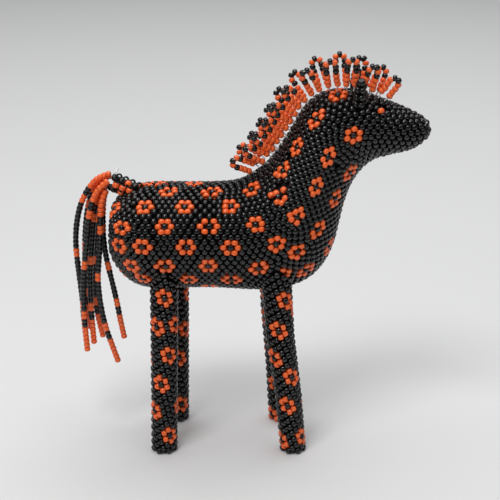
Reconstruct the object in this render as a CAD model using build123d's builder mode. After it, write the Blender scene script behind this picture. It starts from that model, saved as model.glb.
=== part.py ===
from build123d import *
import os
from math import cos, hypot, radians, sin, tan

# A standing horse of glass seed beads: one-bead-thick tubular nets stitched over a stuffed wire
# armature, with a mane and forelock of beaded loops and a tail of hanging bead strands.
# Millimetres, +Z up.  The horse faces +X and +Y is its left.  The origin is on the ground under
# the middle of the body, so the four soles stand on Z = 0.

# ---------------------------------------------------------------- driving dimensions
BEAD_OD = 1.95                  # one seed bead, across its hole
BEAD_LENGTH = 1.45              # one seed bead, along its hole
BEAD_HOLE = 0.8
NET = BEAD_OD                   # a stitched net is one bead thick
STRAND_R = 0.88                 # half the thickness of a single string of beads

WIRE_R = 0.8                    # armature wire
LEG_SPREAD = 10.0               # each leg's distance to the side of the middle plane
LEG_TOP_Z = 60.5                # leg tubes run up inside the body to here before they are trimmed
SPINE_Z = 64.5                  # height of the body's own axis
WIRE_STANDOFF = 1.2             # leg wires stop this far above the sole beads
SPINE_BEND_R = 6.0
LEG_WIRE_BEND_R = 2.5
SHOULDER_Z = 52.5               # leg wires turn inwards at this height
SHOULDER_LEAN = -0.05
HIP_HALF_WIDTH = 3.0            # a leg wire runs level under the spine for this far each side
HIND_HIP_X = -28.6
FRONT_HIP_X = 2.8
BINDING_LENGTH = 4.8            # thread bound round each crossing of the wires
BINDING_HALF_WIDTH = 2.2
BINDING_HALF_HEIGHT = 3.0

# Each torso station is (crest x, crest z, underside x, underside z, half width).
TORSO_STATIONS = [
    (-45.8, 68.0, -45.8, 62.0, 2.9),
    (-44.8, 72.7, -44.6, 56.9, 7.7),
    (-41.6, 76.9, -41.2, 52.4, 12.1),
    (-36.9, 79.2, -36.5, 49.6, 14.6),
    (-28.1, 79.9, -27.1, 48.9, 15.4),
    (-16.1, 79.9, -12.1, 48.9, 15.4),
    (-8.1, 80.8, 2.4, 48.6, 15.4),
    (-4.8, 82.5, 12.2, 51.9, 15.4),
    (-1.8, 84.6, 18.3, 59.8, 15.0),
    (0.7, 87.1, 20.6, 68.0, 13.7),
    (3.5, 91.1, 22.2, 75.3, 12.0),
    (6.5, 96.1, 24.4, 81.1, 11.5),
    (9.8, 101.8, 27.2, 84.9, 10.9),
    (14.5, 106.0, 30.1, 87.1, 10.1),
    (21.4, 107.2, 32.4, 87.8, 9.2),
    (30.2, 105.2, 34.7, 88.4, 7.9),
    (36.6, 102.7, 38.7, 89.3, 6.6),
    (41.4, 100.6, 42.0, 90.6, 4.9),
    (44.4, 98.6, 44.6, 92.7, 2.9),
    (45.8, 97.3, 45.8, 94.3, 1.4),
]
NECK_STATION = 8                # the body net ends and the neck net starts on this station
HEAD_STATION = 13               # the neck net ends and the head net starts on this station

# Each leg is (name, side, [(x of the leg's centre, height, radius), ...] from the sole up).
LEGS = [
    ("right_hind_leg", -1, [(-30.5, 0.0, 4.0), (-30.1, 18.0, 4.0), (-29.7, 37.0, 4.05), (-29.2, 60.5, 4.2)]),
    ("left_hind_leg", 1, [(-28.0, 0.0, 4.0), (-27.7, 18.0, 4.0), (-27.4, 37.0, 4.05), (-27.2, 60.5, 4.2)]),
    ("right_front_leg", -1, [(7.9, 0.0, 4.0), (6.3, 18.5, 4.0), (3.7, 37.0, 4.3), (2.2, 60.5, 4.5)]),
    ("left_front_leg", 1, [(4.8, 0.0, 4.0), (3.8, 18.5, 4.0), (2.4, 37.0, 4.2), (1.4, 60.5, 4.4)]),
]

DOCK_ROOT = (-37.1, 77.2)       # x, z of the tail dock's axis inside the rump
DOCK_TIP = (-43.7, 80.2)        # x, z of the middle of its free end
DOCK_R = 3.0
STITCH_R = 0.35                 # thread that the tail strands are sewn on with
STITCH_LENGTH = 4.4
STITCH_RISE = 0.3
STITCH_GAP = 0.1

# Route of each tail strand, x, y, z, from the dock down to its end bead.
TAIL_ROUTES = [
    [(-44.4, 0.0, 82.6), (-47.0, 0.0, 82.0), (-49.4, 0.2, 80.2), (-51.4, 0.5, 77.5), (-53.4, 0.7, 73.7),
     (-54.8, 0.8, 68.5), (-55.5, 0.9, 62.9), (-55.4, 0.9, 57.1), (-54.9, 1.0, 50.7), (-54.4, 1.0, 43.9),
     (-54.3, 0.9, 36.9), (-53.8, 0.8, 30.1)],
    [(-44.9, -2.3, 81.2), (-47.1, -2.7, 79.7), (-49.0, -2.9, 76.9), (-50.5, -3.0, 72.4), (-51.3, -3.0, 67.5),
     (-51.9, -3.0, 62.3), (-52.7, -2.9, 56.5), (-53.4, -2.8, 50.1), (-53.5, -2.8, 42.9), (-53.5, -2.7, 35.8),
     (-53.1, -2.7, 28.8)],
    [(-45.3, -0.4, 80.5), (-47.0, -0.5, 79.0), (-48.5, -0.6, 76.4), (-49.4, -0.8, 72.7), (-50.0, -0.8, 68.1),
     (-50.5, -0.8, 62.9), (-51.1, -0.8, 57.5), (-51.6, -0.8, 51.5), (-51.7, -0.8, 44.7), (-51.7, -0.7, 37.7),
     (-51.3, -0.6, 30.3)],
    [(-45.8, -1.9, 78.3), (-46.8, -2.3, 76.1), (-47.4, -2.7, 73.0), (-47.6, -2.8, 68.5), (-47.9, -2.8, 63.3),
     (-48.5, -2.8, 57.8), (-49.1, -2.8, 52.1), (-48.9, -2.8, 46.6), (-48.3, -2.8, 41.2), (-47.3, -2.8, 36.0),
     (-45.8, -2.7, 30.8), (-44.1, -2.6, 25.2)],
    [(-46.0, 0.6, 77.5), (-46.8, 0.8, 75.2), (-47.2, 1.0, 71.8), (-47.4, 1.0, 67.1), (-47.4, 0.9, 61.9),
     (-46.8, 0.9, 56.7), (-45.9, 0.9, 51.9), (-44.9, 0.9, 46.8), (-44.0, 0.8, 41.6), (-43.3, 0.8, 36.4),
     (-42.4, 0.8, 31.4)],
    [(-45.5, 2.2, 79.1), (-47.0, 2.7, 77.4), (-48.1, 3.1, 74.7), (-48.9, 3.4, 70.8), (-49.5, 3.6, 65.5),
     (-50.0, 3.6, 59.8), (-50.6, 3.5, 53.7), (-50.9, 3.3, 47.4), (-50.8, 3.2, 41.4), (-50.1, 3.1, 36.0),
     (-49.0, 3.0, 30.8)],
    [(-44.7, 1.8, 81.5), (-47.0, 2.1, 80.6), (-49.0, 2.4, 78.9), (-50.6, 2.7, 75.9), (-51.8, 2.9, 71.6),
     (-52.7, 3.0, 66.1), (-53.2, 3.1, 60.2), (-53.3, 3.1, 53.7), (-53.1, 3.1, 47.0), (-52.9, 3.0, 40.2),
     (-52.6, 3.0, 33.5)],
]
ARC_SHARE = 0.45                # of the shorter run that each bend of a strand takes up

LOOP_HALF_WIDTH = 1.25          # half the distance between a loop's two strings
LOOP_GAP = 0.8                  # bare thread between a loop's first beads and the net
LOOP_ROOT_OFFSET = 1.7          # each row's distance from the middle plane at the crest
MANE_TILT = 17.0                # degrees that each row of the mane leans out to its side
FORELOCK_TILT = 9.0

# Each mane loop is (x, z of its root on the crest, degrees it leans forward of vertical, length).
# The left row's loops stand between those of the right row.
RIGHT_MANE_LOOPS = [
    (-3.5, 84.6, -66.0, 8.1),
    (0.3, 87.2, -61.0, 8.6),
    (3.2, 90.9, -62.0, 9.1),
    (5.6, 94.7, -60.0, 8.9),
    (7.9, 98.7, -59.0, 9.3),
    (10.2, 102.5, -48.0, 9.1),
    (13.6, 105.6, -28.0, 9.3),
    (18.0, 107.3, -9.0, 9.5),
]
LEFT_MANE_LOOPS = [
    (-1.6, 86.0, -63.0, 8.3),
    (1.8, 89.1, -61.0, 8.8),
    (4.4, 92.8, -61.0, 9.0),
    (6.8, 96.7, -60.0, 9.1),
    (9.0, 100.7, -53.0, 9.2),
    (11.8, 104.2, -38.0, 9.2),
    (15.7, 106.7, -19.0, 9.4),
    (20.4, 107.5, -3.0, 9.5),
]
# Each forelock loop is (side, x, z of its root, degrees it leans forward of vertical, length).
FORELOCK_LOOPS = [
    (-1, 22.7, 107.3, 2.0, 9.4),
    (1, 24.9, 106.9, 7.0, 9.2),
    (-1, 27.2, 106.2, 14.0, 8.8),
    (1, 29.3, 105.6, 22.0, 8.3),
    (-1, 31.6, 104.9, 34.0, 7.5),
]

EAR_X = 24.8
EAR_ROOT_Y = 5.6
EAR_ROOT_Z = 102.0
EAR_TIP_X = 25.2
EAR_TIP_Y = 7.3
EAR_TIP_Z = 110.8
EAR_ROOT_R = 2.3
EAR_TIP_R = 1.0
EAR_SHOULDER = 0.7              # share of the ear's length where it starts to close
EAR_SHOULDER_R = 2.0

EYE_X = 30.9
EYE_Z = 102.0
EYE_PROUD = 0.15                # each eye bead stands this far out of the net
EYE_HOLE_SLOPE = 0.5

os.makedirs("parts", exist_ok=True)


# ---------------------------------------------------------------- shared helpers
def finish(builder, name):
    """Label a finished piece and write it out as its own node."""
    builder.part.label = name
    export_step(builder.part, f"parts/{name}.step")


def station_middle(station):
    """Centre of one torso station, in the middle plane."""
    crest_x, crest_z, under_x, under_z, half_width = station
    return Vector((crest_x + under_x) / 2, 0, (crest_z + under_z) / 2)


def station_plane(station):
    """Plane of one torso station: local X is the horse's left, local Y points at the crest."""
    crest_x, crest_z, under_x, under_z, half_width = station
    up = Vector(crest_x - under_x, 0, crest_z - under_z).normalized()
    return Plane(origin=station_middle(station), x_dir=(0, 1, 0), z_dir=(up.Z, 0, -up.X))


def torso_solid(inset, stations):
    """One smooth tube through the stations, drawn in by the inset."""
    with BuildPart() as solid:
        for station in stations:
            crest_x, crest_z, under_x, under_z, half_width = station
            half_height = hypot(crest_x - under_x, crest_z - under_z) / 2
            with BuildSketch(station_plane(station)):
                Ellipse(half_width - inset, half_height - inset)
        loft()
    return solid.part


def leg_solid(side, rings, inset, low, high):
    """The leg's round outline between two heights, drawn in by the inset."""
    with BuildPart() as solid:
        for x, height, radius in rings:
            with BuildSketch(Plane.XY.offset(height)):
                with Locations((x, side * LEG_SPREAD)):
                    Circle(radius - inset)
        loft()
        split(bisect_by=Plane.XY.offset(low), keep=Keep.TOP)
        split(bisect_by=Plane.XY.offset(high), keep=Keep.BOTTOM)
    return solid.part


def bend_radii(points):
    """Largest radius that each bend has room for, so a strand curves evenly."""
    radii = []
    for before, here, after in zip(points, points[1:], points[2:]):
        run_in = Vector(*here) - Vector(*before)
        run_out = Vector(*after) - Vector(*here)
        half_turn = radians(run_in.get_angle(run_out)) / 2
        radii.append(ARC_SHARE * min(run_in.length, run_out.length) / tan(half_turn))
    return radii


def wire_solid(points, radius, bend):
    """A bent wire of round section."""
    with BuildPart() as solid:
        with BuildLine() as path:
            FilletPolyline(*points, radius=bend)
        with BuildSketch(Plane(origin=path.line @ 0, z_dir=path.line % 0)):
            Circle(radius)
        sweep()
    return solid.part


# ---------------------------------------------------------------- outlines shared by several pieces
torso_outer = torso_solid(0, TORSO_STATIONS)
torso_inner = torso_solid(NET, TORSO_STATIONS[1:-1])
neck_plane = station_plane(TORSO_STATIONS[NECK_STATION])
head_plane = station_plane(TORSO_STATIONS[HEAD_STATION])

spine_wire_solid = wire_solid(
    [(-39, 0, SPINE_Z), (3, 0, SPINE_Z), (14.5, 0, 86), (22.5, 0, 96.5), (39.5, 0, 95.8)], WIRE_R, SPINE_BEND_R
)


def leg_wire_solid(pair, hip_x):
    """An inverted U of wire through one pair of legs, passing under the spine wire."""
    (right_name, right_side, right_rings), (left_name, left_side, left_rings) = pair
    hip_z = SPINE_Z - 2 * WIRE_R
    foot_z = NET + WIRE_STANDOFF
    points = [
        (right_rings[0][0], -LEG_SPREAD, foot_z),
        (right_rings[1][0], -LEG_SPREAD, right_rings[1][1]),
        (right_rings[2][0] + SHOULDER_LEAN, -LEG_SPREAD, SHOULDER_Z),
        (hip_x, -HIP_HALF_WIDTH, hip_z),
        (hip_x, HIP_HALF_WIDTH, hip_z),
        (left_rings[2][0] + SHOULDER_LEAN, LEG_SPREAD, SHOULDER_Z),
        (left_rings[1][0], LEG_SPREAD, left_rings[1][1]),
        (left_rings[0][0], LEG_SPREAD, foot_z),
    ]
    return wire_solid(points, WIRE_R, LEG_WIRE_BEND_R)


hind_leg_wire_solid = leg_wire_solid(LEGS[0:2], HIND_HIP_X)
front_leg_wire_solid = leg_wire_solid(LEGS[2:4], FRONT_HIP_X)
all_wires = [spine_wire_solid, hind_leg_wire_solid, front_leg_wire_solid]


# ---------------------------------------------------------------- armature
for name, solid in [
    ("spine_wire", spine_wire_solid),
    ("hind_leg_wire", hind_leg_wire_solid),
    ("front_leg_wire", front_leg_wire_solid),
]:
    with BuildPart() as wire:
        add(solid)
    finish(wire, name)


def binding_solid(x):
    """Outline of the thread bound round the crossing of the spine and a leg wire."""
    with BuildPart() as solid:
        with BuildSketch(Plane.YZ.offset(x - BINDING_LENGTH / 2)):
            with Locations((0, SPINE_Z - WIRE_R)):
                Ellipse(BINDING_HALF_WIDTH, BINDING_HALF_HEIGHT)
        extrude(amount=BINDING_LENGTH)
    return solid.part


binding_outlines = {"hind_wire_binding": binding_solid(HIND_HIP_X), "front_wire_binding": binding_solid(FRONT_HIP_X)}
for name, outline in binding_outlines.items():
    with BuildPart() as binding:
        add(outline)
        for wire in all_wires:
            add(wire, mode=Mode.SUBTRACT)
    finish(binding, name)


# ---------------------------------------------------------------- stuffing
def stuffing_section(name, near_plane, far_plane):
    """One length of the stuffing between two station planes."""
    with BuildPart() as stuffing:
        add(torso_inner)
        if near_plane is not None:
            split(bisect_by=near_plane, keep=Keep.TOP)
        if far_plane is not None:
            split(bisect_by=far_plane, keep=Keep.BOTTOM)
        for solid in all_wires + list(binding_outlines.values()):
            add(solid, mode=Mode.SUBTRACT)
    finish(stuffing, name)


stuffing_section("body_stuffing", None, neck_plane)
stuffing_section("neck_stuffing", neck_plane, head_plane)
stuffing_section("head_stuffing", head_plane, None)


# ---------------------------------------------------------------- eyes
def eye_place(side):
    """Plane of one eye bead: local Z runs along its hole, round the head."""
    with BuildPart() as probe:
        add(torso_outer)
    line = Edge.make_line((EYE_X, 0, EYE_Z), (EYE_X, side * 20, EYE_Z))
    inside = line.intersect(probe.part)
    surface_y = max(abs(vertex.Y) for vertex in inside.vertices())
    seat_y = surface_y - BEAD_OD / 2 + EYE_PROUD
    return Plane(origin=(EYE_X, side * seat_y, EYE_Z), x_dir=(1, 0, 0), z_dir=(0, EYE_HOLE_SLOPE * side, -1))


def eye_bead_solid(side, hole):
    """One seed bead, or the round seat that it fills when it has no hole."""
    with BuildPart() as bead:
        with BuildSketch(eye_place(side).offset(-BEAD_LENGTH / 2)):
            Circle(BEAD_OD / 2)
            if hole:
                Circle(BEAD_HOLE / 2, mode=Mode.SUBTRACT)
        extrude(amount=BEAD_LENGTH)
    return bead.part


eye_seats = [eye_bead_solid(side, False) for side in (-1, 1)]
for name, side in [("right_eye_bead", -1), ("left_eye_bead", 1)]:
    with BuildPart() as eye:
        add(eye_bead_solid(side, True))
    finish(eye, name)


# ---------------------------------------------------------------- torso nets
def torso_net(name, near_plane, far_plane, cuts):
    """One length of the torso's bead net between two station planes."""
    with BuildPart() as net:
        add(torso_outer)
        add(torso_inner, mode=Mode.SUBTRACT)
        if near_plane is not None:
            split(bisect_by=near_plane, keep=Keep.TOP)
        if far_plane is not None:
            split(bisect_by=far_plane, keep=Keep.BOTTOM)
        for solid in cuts:
            add(solid, mode=Mode.SUBTRACT)
    finish(net, name)


torso_net("body_beadwork", None, neck_plane, [hind_leg_wire_solid, front_leg_wire_solid])
torso_net("neck_beadwork", neck_plane, head_plane, [])
torso_net("head_beadwork", head_plane, None, eye_seats)


# ---------------------------------------------------------------- legs
for name, side, rings in LEGS:
    with BuildPart() as sole:
        add(leg_solid(side, rings, 0, 0, NET))
    finish(sole, f"{name}_sole")

    with BuildPart() as leg_net:
        add(leg_solid(side, rings, 0, NET, LEG_TOP_Z))
        add(leg_solid(side, rings, NET, NET, LEG_TOP_Z), mode=Mode.SUBTRACT)
        add(torso_outer, mode=Mode.SUBTRACT)
    finish(leg_net, f"{name}_beadwork")

    with BuildPart() as leg_stuffing:
        add(leg_solid(side, rings, NET, NET, LEG_TOP_Z))
        add(torso_outer, mode=Mode.SUBTRACT)
        add(hind_leg_wire_solid if "hind" in name else front_leg_wire_solid, mode=Mode.SUBTRACT)
    finish(leg_stuffing, f"{name}_stuffing")


# ---------------------------------------------------------------- ears
for name, side in [("right_ear", -1), ("left_ear", 1)]:
    root = Vector(EAR_X, side * EAR_ROOT_Y, EAR_ROOT_Z)
    tip = Vector(EAR_TIP_X, side * EAR_TIP_Y, EAR_TIP_Z)
    ear_plane = Plane(origin=root, x_dir=(1, 0, 0), z_dir=tip - root)
    ear_length = (tip - root).length
    with BuildPart() as ear:
        with BuildSketch(ear_plane):
            Circle(EAR_ROOT_R)
        with BuildSketch(ear_plane.offset(ear_length * EAR_SHOULDER)):
            Circle(EAR_SHOULDER_R)
        with BuildSketch(ear_plane.offset(ear_length)):
            Circle(EAR_TIP_R)
        loft()
        add(torso_outer, mode=Mode.SUBTRACT)
    finish(ear, name)


# ---------------------------------------------------------------- tail dock
dock_root = Vector(DOCK_ROOT[0], 0, DOCK_ROOT[1])
dock_tip = Vector(DOCK_TIP[0], 0, DOCK_TIP[1])
dock_out = (dock_tip - dock_root).normalized()
dock_up = Vector(dock_out.Z, 0, -dock_out.X)
dock_plane = Plane(origin=dock_root, x_dir=(0, 1, 0), z_dir=dock_out)
dock_length = (dock_tip - dock_root).length

with BuildPart() as dock_net:
    with BuildSketch(dock_plane):
        Circle(DOCK_R)
        Circle(DOCK_R - NET / 2, mode=Mode.SUBTRACT)
    extrude(amount=dock_length)
    add(torso_outer, mode=Mode.SUBTRACT)
finish(dock_net, "tail_dock_beadwork")

with BuildPart() as dock_stuffing:
    with BuildSketch(dock_plane):
        Circle(DOCK_R - NET / 2)
    extrude(amount=dock_length)
    add(torso_outer, mode=Mode.SUBTRACT)
finish(dock_stuffing, "tail_dock_stuffing")

stitch_middle = dock_tip + dock_up * (DOCK_R + STITCH_RISE) + dock_out * (STITCH_R + STITCH_GAP)
with BuildPart() as stitch:
    with BuildSketch(Plane.XZ.offset(-STITCH_LENGTH / 2)):
        with Locations((stitch_middle.X, stitch_middle.Z)):
            Circle(STITCH_R)
    extrude(amount=STITCH_LENGTH)
finish(stitch, "tail_stitch_thread")


# ---------------------------------------------------------------- tail strands
for number, route in enumerate(TAIL_ROUTES, start=1):
    radii = bend_radii(route)
    with BuildPart() as strand:
        with BuildLine() as path:
            FilletPolyline(*route, radius=radii)
        with BuildSketch(Plane(origin=path.line @ 0, z_dir=path.line % 0)):
            Circle(STRAND_R)
        sweep()
    finish(strand, f"tail_strand_{number}")
    length = sum(edge.length for edge in path.edges())
    print(f"tail_strand_{number}: length {length:.1f}, radii", [round(radius, 1) for radius in radii])


# ---------------------------------------------------------------- mane and forelock
def bead_loop(name, side, root_x, root_z, lean, length, tilt):
    """A hairpin of strung beads that stands on the crest, with both ends sewn to the net."""
    forward = Vector(cos(radians(lean)), 0, -sin(radians(lean)))
    upright = Vector(sin(radians(lean)), 0, cos(radians(lean)))
    outward = upright * cos(radians(tilt)) + Vector(0, side, 0) * sin(radians(tilt))
    root = Vector(root_x, side * LOOP_ROOT_OFFSET, root_z)
    loop_plane = Plane(origin=root, x_dir=forward, z_dir=forward.cross(outward))
    turn = length - LOOP_HALF_WIDTH - STRAND_R
    with BuildPart() as loop:
        with BuildLine(loop_plane) as path:
            Line((-LOOP_HALF_WIDTH, LOOP_GAP), (-LOOP_HALF_WIDTH, turn))
            ThreePointArc(
                (-LOOP_HALF_WIDTH, turn), (0, turn + LOOP_HALF_WIDTH), (LOOP_HALF_WIDTH, turn)
            )
            Line((LOOP_HALF_WIDTH, turn), (LOOP_HALF_WIDTH, LOOP_GAP))
        with BuildSketch(Plane(origin=path.line @ 0, z_dir=path.line % 0)):
            Circle(STRAND_R)
        sweep()
    finish(loop, name)


for word, side, loops in [("right", -1, RIGHT_MANE_LOOPS), ("left", 1, LEFT_MANE_LOOPS)]:
    for number, (x, z, lean, length) in enumerate(loops, start=1):
        bead_loop(f"{word}_mane_loop_{number}", side, x, z, lean, length, MANE_TILT)

for number, (side, x, z, lean, length) in enumerate(FORELOCK_LOOPS, start=1):
    bead_loop(f"forelock_loop_{number}", side, x, z, lean, length, FORELOCK_TILT)
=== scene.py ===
from math import cos, pi, radians, sin

import bpy
import numpy as np
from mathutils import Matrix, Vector
from mathutils.bvhtree import BVHTree


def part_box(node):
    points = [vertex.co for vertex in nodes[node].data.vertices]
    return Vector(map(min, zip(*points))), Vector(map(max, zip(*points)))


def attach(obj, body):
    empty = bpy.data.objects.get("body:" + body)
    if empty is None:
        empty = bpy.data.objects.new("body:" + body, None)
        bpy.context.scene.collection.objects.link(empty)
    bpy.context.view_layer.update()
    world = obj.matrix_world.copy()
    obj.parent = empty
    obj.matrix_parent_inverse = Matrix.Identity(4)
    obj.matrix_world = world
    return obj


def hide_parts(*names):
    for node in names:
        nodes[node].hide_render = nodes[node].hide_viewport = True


# The beaded horse's looks.  Shapes are worked out in millimetres and scaled to metres as each mesh is
# made.  Every glass bead is a real mesh, placed on the CAD model's own surfaces.
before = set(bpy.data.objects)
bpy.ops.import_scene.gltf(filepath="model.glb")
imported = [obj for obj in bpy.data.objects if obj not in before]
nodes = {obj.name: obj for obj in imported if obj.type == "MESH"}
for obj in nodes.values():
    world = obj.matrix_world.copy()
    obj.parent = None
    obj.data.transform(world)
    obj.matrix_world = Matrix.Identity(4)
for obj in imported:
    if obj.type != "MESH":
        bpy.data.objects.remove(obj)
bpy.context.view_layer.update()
chance = np.random.default_rng(20)

MM = 0.001
BEAD_OD = 1.92                  # across the hole
BEAD_LENGTH = 1.44              # along the hole
BEAD_HOLE_R = 0.4
ROW_PITCH = 2.057               # bead to bead along a column of the net
COLUMN_PITCH = 1.42             # column to column round the net
STRING_PITCH = 1.31             # bead to bead on a single string
HALF_BEAD = BEAD_OD / 2


# ---------------------------------------------------------------- materials
def glass_bead_material(name, colour, shade, polish_range):
    """Opaque pressed glass: a wet gloss over a body colour that clouds slightly from place to place."""
    material = bpy.data.materials.new(name)
    material.use_nodes = True
    tree = material.node_tree
    shader = tree.nodes["Principled BSDF"]
    shader.inputs["IOR"].default_value = 1.52
    shader.inputs["Coat Weight"].default_value = 0.1
    shader.inputs["Coat Roughness"].default_value = 0.08
    place = tree.nodes.new("ShaderNodeTexCoord")
    clouds = tree.nodes.new("ShaderNodeTexNoise")
    clouds.inputs["Scale"].default_value = 900
    clouds.inputs["Detail"].default_value = 3
    ramp = tree.nodes.new("ShaderNodeValToRGB")
    ramp.color_ramp.elements[0].position = 0.3
    ramp.color_ramp.elements[0].color = (*shade, 1)
    ramp.color_ramp.elements[1].position = 0.7
    ramp.color_ramp.elements[1].color = (*colour, 1)
    polish = tree.nodes.new("ShaderNodeTexNoise")
    polish.inputs["Scale"].default_value = 2600
    polish.inputs["Detail"].default_value = 2
    roughness = tree.nodes.new("ShaderNodeMapRange")
    roughness.inputs["To Min"].default_value = polish_range[0]
    roughness.inputs["To Max"].default_value = polish_range[1]
    tree.links.new(place.outputs["Object"], clouds.inputs["Vector"])
    tree.links.new(clouds.outputs["Fac"], ramp.inputs["Fac"])
    tree.links.new(ramp.outputs["Color"], shader.inputs["Base Color"])
    tree.links.new(place.outputs["Object"], polish.inputs["Vector"])
    tree.links.new(polish.outputs["Fac"], roughness.inputs["Value"])
    tree.links.new(roughness.outputs["Result"], shader.inputs["Roughness"])
    return material


def plain_material(name, colour, shade, scale, roughness, metallic=0.0, sheen=0.0):
    """A fine mottled finish for thread, cloth and wire."""
    material = bpy.data.materials.new(name)
    material.use_nodes = True
    tree = material.node_tree
    shader = tree.nodes["Principled BSDF"]
    shader.inputs["Roughness"].default_value = roughness
    shader.inputs["Metallic"].default_value = metallic
    shader.inputs["Sheen Weight"].default_value = sheen
    place = tree.nodes.new("ShaderNodeTexCoord")
    weave = tree.nodes.new("ShaderNodeTexNoise")
    weave.inputs["Scale"].default_value = scale
    weave.inputs["Detail"].default_value = 4
    ramp = tree.nodes.new("ShaderNodeValToRGB")
    ramp.color_ramp.elements[0].color = (*shade, 1)
    ramp.color_ramp.elements[1].color = (*colour, 1)
    tree.links.new(place.outputs["Object"], weave.inputs["Vector"])
    tree.links.new(weave.outputs["Fac"], ramp.inputs["Fac"])
    tree.links.new(ramp.outputs["Color"], shader.inputs["Base Color"])
    return material


black_glass = glass_bead_material(
    "black_glass", (0.004, 0.004, 0.0045), (0.0015, 0.0015, 0.002), (0.07, 0.15)
)
orange_glass = glass_bead_material("orange_glass", (1.0, 0.17, 0.03), (0.93, 0.12, 0.018), (0.16, 0.28))
white_thread = plain_material("white_nylon", (0.88, 0.88, 0.86), (0.7, 0.7, 0.68), 4000, 0.45)
dark_cloth = plain_material("dark_cloth", (0.016, 0.016, 0.018), (0.006, 0.006, 0.007), 1500, 0.9, sheen=0.2)
binding_cotton = plain_material(
    "binding_cotton", (0.03, 0.03, 0.032), (0.012, 0.012, 0.012), 2500, 0.8, sheen=0.3
)
steel_wire = plain_material("steel_wire", (0.62, 0.62, 0.63), (0.45, 0.45, 0.46), 800, 0.38, metallic=1.0)


# ---------------------------------------------------------------- beads
def bead_template():
    """One seed bead about its hole, which lies along local Z: points, faces."""
    half = BEAD_LENGTH / 2
    profile = [
        (BEAD_HOLE_R, -half * 0.86), (HALF_BEAD * 0.7, -half), (HALF_BEAD * 0.92, -half * 0.72),
        (HALF_BEAD, -half * 0.28), (HALF_BEAD, half * 0.28), (HALF_BEAD * 0.92, half * 0.72),
        (HALF_BEAD * 0.7, half), (BEAD_HOLE_R, half * 0.86),
    ]
    around = 12
    points = []
    for step in range(around):
        turn = 2 * pi * step / around
        points += [(r * cos(turn), r * sin(turn), z) for r, z in profile]
    count = len(profile)
    faces = []
    for step in range(around):
        here = step * count
        there = (step + 1) % around * count
        for k in range(count):
            after = (k + 1) % count
            faces.append((here + k, there + k, there + after, here + after))
    return np.array(points), np.array(faces)


BEAD_POINTS, BEAD_FACES = bead_template()


def unit(rows):
    """Rows scaled to length one."""
    rows = np.asarray(rows, float)
    return rows / np.maximum(np.linalg.norm(rows, axis=-1, keepdims=True), 1e-12)


# ---------------------------------------------------------------- the torso's surface
# Each ring of the net is a plane across the torso, given by its crest and underside points (x, z).
RINGS = [
    (-45.2, 67.5, -45.5, 62.0), (-44.2, 72.9, -44.9, 56.5), (-42.0, 76.3, -42.9, 53.5),
    (-38.5, 78.7, -39.5, 50.5), (-32.6, 79.5, -33.4, 49.0), (-18.9, 79.6, -19.3, 48.8),
    (-8.1, 80.3, -6.2, 48.6), (-3.7, 82.8, 3.9, 48.4), (0.7, 87.0, 11.0, 50.9), (3.6, 91.2, 15.9, 55.7),
    (6.5, 96.0, 19.6, 64.0), (9.2, 100.7, 22.2, 72.4), (11.6, 104.3, 24.6, 79.2),
    (15.2, 106.3, 27.2, 83.5),
    (20.0, 107.2, 29.4, 86.1), (25.4, 106.5, 31.4, 87.4), (30.2, 105.1, 34.2, 88.3),
    (35.1, 103.3, 37.6, 89.1),
    (39.0, 101.7, 40.6, 90.0), (42.4, 100.0, 43.2, 91.4), (44.5, 98.4, 44.9, 92.9), (45.3, 97.5, 45.5, 94.0),
]
RING_STEPS = 240
AROUND = 120
BODY_COLUMNS = 64
COLUMN_PHASE = 0.13             # columns stand this far round from the crest, in columns
FLOWER_X = -28.8                # a flower's centre on the barrel, which the whole lattice starts from
FROZEN = (-36.0, -13.0)         # between these the net is the plain even lattice
HEX_RATIO = 0.866
FLOWER_LIMITS = (-36.5, -10.0)
PETAL_SEARCH = 4.5              # petals are looked for this close to a flower's middle bead
PETAL_REACH = 1.6               # in pitches
SEAM_NEAR = 0.1                 # how close a column may come to the crest and underside lines, in columns
SEAM_FAR = 0.6
SKEW = 2.2
SKEW_MIDDLE = -5.0
SKEW_WIDTH = 22.0
BARREL_MARGIN = 5               # rings past each end of the barrel searched for the start place
RELAX_ROUNDS = 24
EARLY_ROUNDS = 0.7              # share of the rounds that move beads by the larger gain
EARLY_GAIN = 0.8
LATE_GAIN = 0.45
PUSH_REACH = 3.4                # beads farther apart than this leave each other alone
PUSH_FROM = 1.32                # beads start to push inside this many pitches
PUSH_SHARE = 0.34
PUSH_LIMIT = 0.5
CLOSEST = 0.72                  # beads nearer than this many pitches are thinned out
SAME_LAYER = 1.5                # beads this far apart outward are on different parts of the net
DROP_GAP = 0.72                 # beads closer than this many rows along a column lose one
FILL_GAP = 1.5                  # gaps wider than this many rows gain one


def torso_tree():
    """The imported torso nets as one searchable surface, in millimetres."""
    points = []
    faces = []
    for name in ("body_beadwork", "neck_beadwork", "head_beadwork"):
        mesh = nodes[name].data
        start = len(points)
        points += [v.co / MM for v in mesh.vertices]
        faces += [[start + i for i in polygon.vertices] for polygon in mesh.polygons]
    return BVHTree.FromPolygons(points, faces)


def farthest_hit(tree, origin, direction):
    """Where a ray leaves the torso's outer surface."""
    start = Vector(origin)
    direction = Vector(direction)
    best = None
    while True:
        place, normal, face, distance = tree.ray_cast(start, direction)
        if place is None:
            return best
        best = place
        start = place + direction * 0.01


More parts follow.
